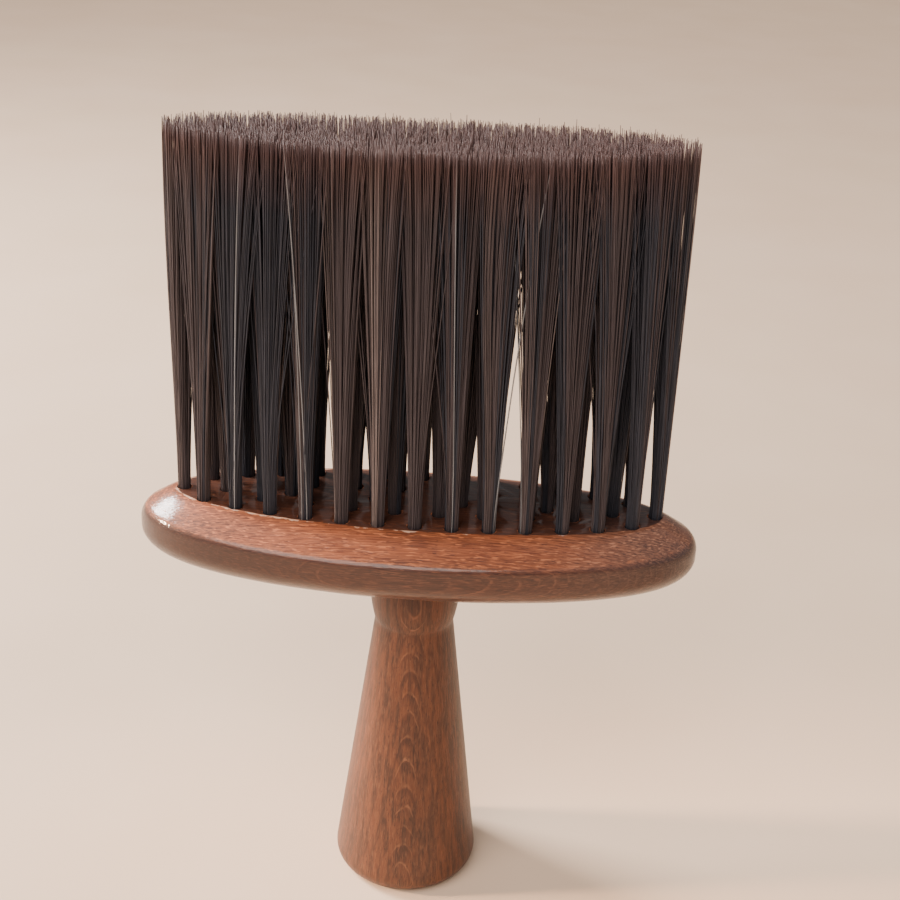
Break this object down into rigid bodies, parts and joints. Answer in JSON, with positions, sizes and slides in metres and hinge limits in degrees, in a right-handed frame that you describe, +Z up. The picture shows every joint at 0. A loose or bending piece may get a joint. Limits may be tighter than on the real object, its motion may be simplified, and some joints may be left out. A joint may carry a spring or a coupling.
{
  "type": "neck duster brush",
  "caption": "Neck duster with long dark nylon tufts in an oval stained wooden head, on a turned conical wooden handle that stands on its own foot.",
  "frame": {"origin": "centre of the handle's foot, on the surface that the brush stands on", "axes": "+Z up along the handle to the trimmed tips, +X along the length of the oval head, +Y across it"},
  "size_m": [0.125, 0.045, 0.18],
  "materials": {
    "stained_wood": "satin lacquer over reddish-brown stained beech",
    "bristle": "brown-black nylon filament with a soft sheen",
    "anchor_wire": "bright flat wire"
  },
  "bodies": {
    "root": {"head_block": "stained_wood", "handle": "stained_wood", "tuft_anchors": "anchor_wire", "tuft_outer_01": "bristle", "tuft_outer_02": "bristle", "tuft_outer_03": "bristle", "tuft_outer_04": "bristle", "tuft_outer_05": "bristle", "tuft_outer_06": "bristle", "tuft_outer_07": "bristle", "tuft_outer_08": "bristle", "tuft_outer_09": "bristle", "tuft_outer_10": "bristle", "tuft_outer_11": "bristle", "tuft_outer_12": "bristle", "tuft_outer_13": "bristle", "tuft_outer_14": "bristle", "tuft_outer_15": "bristle", "tuft_outer_16": "bristle", "tuft_outer_17": "bristle", "tuft_outer_18": "bristle", "tuft_outer_19": "bristle", "tuft_outer_20": "bristle", "tuft_outer_21": "bristle", "tuft_outer_22": "bristle", "tuft_outer_23": "bristle", "tuft_outer_24": "bristle", "tuft_outer_25": "bristle", "tuft_outer_26": "bristle", "tuft_outer_27": "bristle", "tuft_outer_28": "bristle", "tuft_inner_01": "bristle", "tuft_inner_02": "bristle", "tuft_inner_03": "bristle", "tuft_inner_04": "bristle", "tuft_inner_05": "bristle", "tuft_inner_06": "bristle", "tuft_inner_07": "bristle", "tuft_inner_08": "bristle", "tuft_inner_09": "bristle", "tuft_inner_10": "bristle", "tuft_inner_11": "bristle", "tuft_inner_12": "bristle", "tuft_inner_13": "bristle", "tuft_inner_14": "bristle", "tuft_inner_15": "bristle", "tuft_inner_16": "bristle", "tuft_inner_17": "bristle", "tuft_inner_18": "bristle", "tuft_centre_01": "bristle", "tuft_centre_02": "bristle", "tuft_centre_03": "bristle", "tuft_centre_04": "bristle"}
  },
  "joints": []
}
